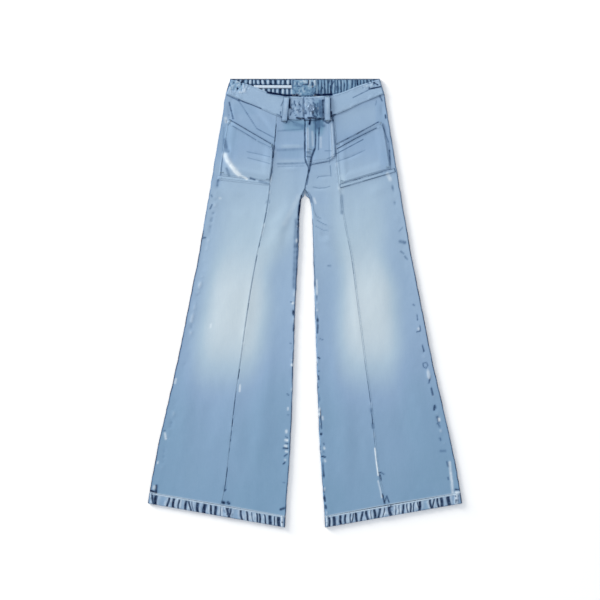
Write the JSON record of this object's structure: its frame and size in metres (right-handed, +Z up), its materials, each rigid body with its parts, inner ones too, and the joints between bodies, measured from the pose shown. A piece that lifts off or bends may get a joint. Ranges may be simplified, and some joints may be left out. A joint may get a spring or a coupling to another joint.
{
  "type": "flared jeans",
  "caption": "Light blue flared jeans laid flat face up, with patch pockets, a closed fly and turned-up hems.",
  "frame": {"origin": "on the surface the jeans lie on, at the middle of their footprint", "axes": "+X towards the wearer's left, +Y from the hems towards the waist, +Z up out of the front of the jeans"},
  "size_m": [0.774, 1.105, 0.0138],
  "materials": {
    "denim": "washed light blue denim, faded at the thighs and along the seams",
    "inside_denim": "washed mid blue denim, puckered along its stitching",
    "button_metal": "plain aged steel shank button",
    "label_cloth": "plain woven label with nothing on it",
    "tape_cloth": "plain woven tape"
  },
  "bodies": {
    "root": {"front_side_right": "denim", "front_side_left": "denim", "front_centre_right": "denim", "front_centre_left": "denim", "back_right": "denim", "back_left": "denim", "hem_front_right": "denim", "hem_front_left": "denim", "hem_back_right": "denim", "hem_back_left": "denim", "pocket_right": "denim", "pocket_left": "denim", "pocket_band_right": "denim", "pocket_band_left": "denim", "waistband_front_right": "denim", "waistband_front_left": "denim", "fly": "denim", "belt_loop_right": "denim", "belt_loop_left": "denim", "waistband_back": "inside_denim", "waist_button": "button_metal", "inside_label": "label_cloth", "inside_tape": "tape_cloth"}
  },
  "joints": []
}
